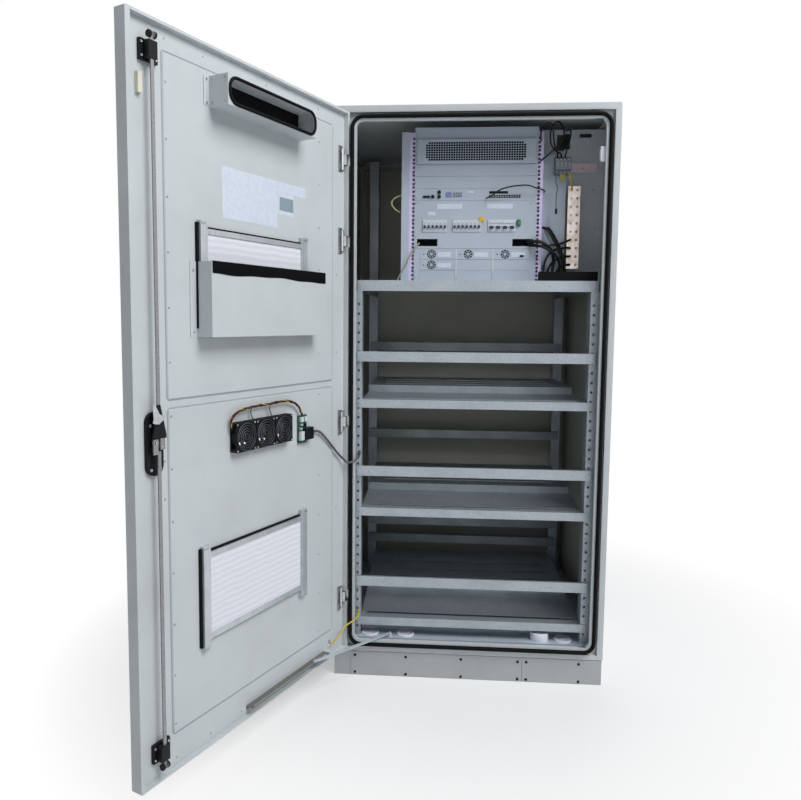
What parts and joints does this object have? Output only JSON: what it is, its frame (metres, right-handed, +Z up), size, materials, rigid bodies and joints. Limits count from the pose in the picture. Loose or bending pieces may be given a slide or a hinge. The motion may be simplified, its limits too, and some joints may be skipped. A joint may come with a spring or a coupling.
{
  "type": "roadside utility cabinet",
  "caption": "Free-standing outdoor steel cabinet on a plinth, with an open insulated door, battery shelves below and a power rack above.",
  "frame": {"origin": "centre of the plinth's underside, below the middle of the cabinet body", "axes": "+Z up, +X to the right along the front, +Y from the front into the cabinet"},
  "size_m": [1.406, 1.8003, 2.1],
  "materials": {
    "painted_steel": "fine-textured light grey powder coat",
    "plinth_paint": "satin grey powder coat",
    "galvanised_sheet": "aluminium-zinc coated sheet, satin",
    "bright_zinc": "bright zinc plate",
    "rack_paint": "smooth light grey enamel",
    "black_plastic": "moulded black polyamide",
    "white_plastic": "moulded white polyamide",
    "black_rubber": "foamed rubber",
    "copper_bar": "bare copper",
    "filter_alloy": "natural aluminium section",
    "filter_fleece": "non-woven polyester",
    "board": "green solder mask",
    "cable_sheath": "soft PVC sheath",
    "latch_metal": "zinc plated steel"
  },
  "bodies": {
    "cabinet": {"plinth_frame": "plinth_paint", "plinth_covers": "painted_steel", "side_panel_left": "painted_steel", "side_panel_right": "painted_steel", "back_panel": "painted_steel", "roof_cover": "painted_steel", "floor_pan": "galvanised_sheet", "cable_entry_plugs": "white_plastic", "front_frame": "painted_steel", "frame_gasket": "black_rubber", "uprights": "galvanised_sheet", "frame_rails": "galvanised_sheet", "mid_beam": "galvanised_sheet", "battery_shelf_top": "galvanised_sheet", "battery_shelf_middle": "galvanised_sheet", "battery_shelf_bottom": "galvanised_sheet", "retaining_bars": "galvanised_sheet", "rack_posts": "rack_paint", "blank_panels": "rack_paint", "vent_panel": "rack_paint", "controller_unit": "rack_paint", "distribution_panel": "rack_paint", "breakers": "white_plastic", "rectifier_shelf": "rack_paint", "rectifier_modules": "rack_paint", "equipment_plate": "galvanised_sheet", "wall_plate": "galvanised_sheet", "ground_bar": "copper_bar", "din_rail": "bright_zinc", "terminal_block": "black_plastic", "wiring": "cable_sheath", "foam_strip": "black_rubber", "door_sensor": "white_plastic", "frame_hinge_leaves": "bright_zinc", "hinge_cables": "cable_sheath"},
    "door": {"door_shell": "painted_steel", "door_inner_panel": "painted_steel", "air_duct_hood": "painted_steel", "duct_gasket": "black_rubber", "document_box": "painted_steel", "document_box_trim": "black_rubber", "filter_frames": "filter_alloy", "filter_media": "filter_fleece", "fan_housings": "black_plastic", "fan_board": "board", "fan_harness": "cable_sheath", "latch_housing": "black_plastic", "rod_guides": "black_plastic", "door_hinge_leaves": "bright_zinc", "stay_channel": "galvanised_sheet", "sensor_magnet": "white_plastic"},
    "stay": {"stay_arm": "galvanised_sheet"},
    "latch": {"latch_cam": "latch_metal"},
    "upper_rod": {"rod_upper": "bright_zinc"},
    "lower_rod": {"rod_lower": "bright_zinc"},
    "handle": {"swing_handle": "black_plastic"},
    "rotor_left": {"fan_rotor_left": "black_plastic"},
    "rotor_middle": {"fan_rotor_middle": "black_plastic"},
    "rotor_right": {"fan_rotor_right": "black_plastic"},
    "breaker_handle": {"main_breaker_handle": "black_plastic"}
  },
  "joints": [
    {"name": "door_hinge", "type": "hinge", "parent": "cabinet", "child": "door", "pos_m": [-0.4715, -0.4701, 1.1], "axis": [0, 0, 1], "range_deg": [0, 115.5], "deforming": ["hinge_cables"]},
    {"name": "stay_pivot", "type": "hinge", "parent": "cabinet", "child": "stay", "pos_m": [-0.29, -0.41, 0.1505], "axis": [0, 0, 1], "range_deg": [0, 128.6]},
    {"name": "latch_turn", "type": "hinge", "parent": "door", "child": "latch", "pos_m": [-0.84184, -1.28394, 1.02], "axis": [0.9026, -0.4305, 0], "range_deg": [0, 60]},
    {"name": "upper_rod_slide", "type": "slide", "parent": "door", "child": "upper_rod", "axis": [0, 0, 1], "range_m": [0, 0.0121]},
    {"name": "lower_rod_slide", "type": "slide", "parent": "door", "child": "lower_rod", "axis": [0, 0, -1], "range_m": [0, 0.0121]},
    {"name": "handle_tilt", "type": "hinge", "parent": "latch", "child": "handle", "pos_m": [-0.88878, -1.26156, 1.02], "axis": [0.4305, 0.9026, 0], "range_deg": [0, 60]},
    {"name": "rotor_left_spin", "type": "hinge", "parent": "door", "child": "rotor_left", "pos_m": [-0.69827, -0.98293, 0.995], "axis": [0.9026, -0.4305, 0], "continuous": true},
    {"name": "rotor_middle_spin", "type": "hinge", "parent": "door", "child": "rotor_middle", "pos_m": [-0.65909, -0.9008, 0.995], "axis": [0.9026, -0.4305, 0], "continuous": true},
    {"name": "rotor_right_spin", "type": "hinge", "parent": "door", "child": "rotor_right", "pos_m": [-0.61992, -0.81866, 0.995], "axis": [0.9026, -0.4305, 0], "continuous": true},
    {"name": "main_breaker_rock", "type": "hinge", "parent": "cabinet", "child": "breaker_handle", "pos_m": [0.1088, -0.299, 1.698], "axis": [-1, 0, 0], "range_deg": [0, 70]}
  ],
  "couplings": [
    {"joint": "stay_pivot", "follows": "door_hinge", "ratio": 1.1126},
    {"joint": "upper_rod_slide", "follows": "latch_turn", "m_per_rad": 0.011459},
    {"joint": "lower_rod_slide", "follows": "latch_turn", "m_per_rad": 0.011459}
  ]
}
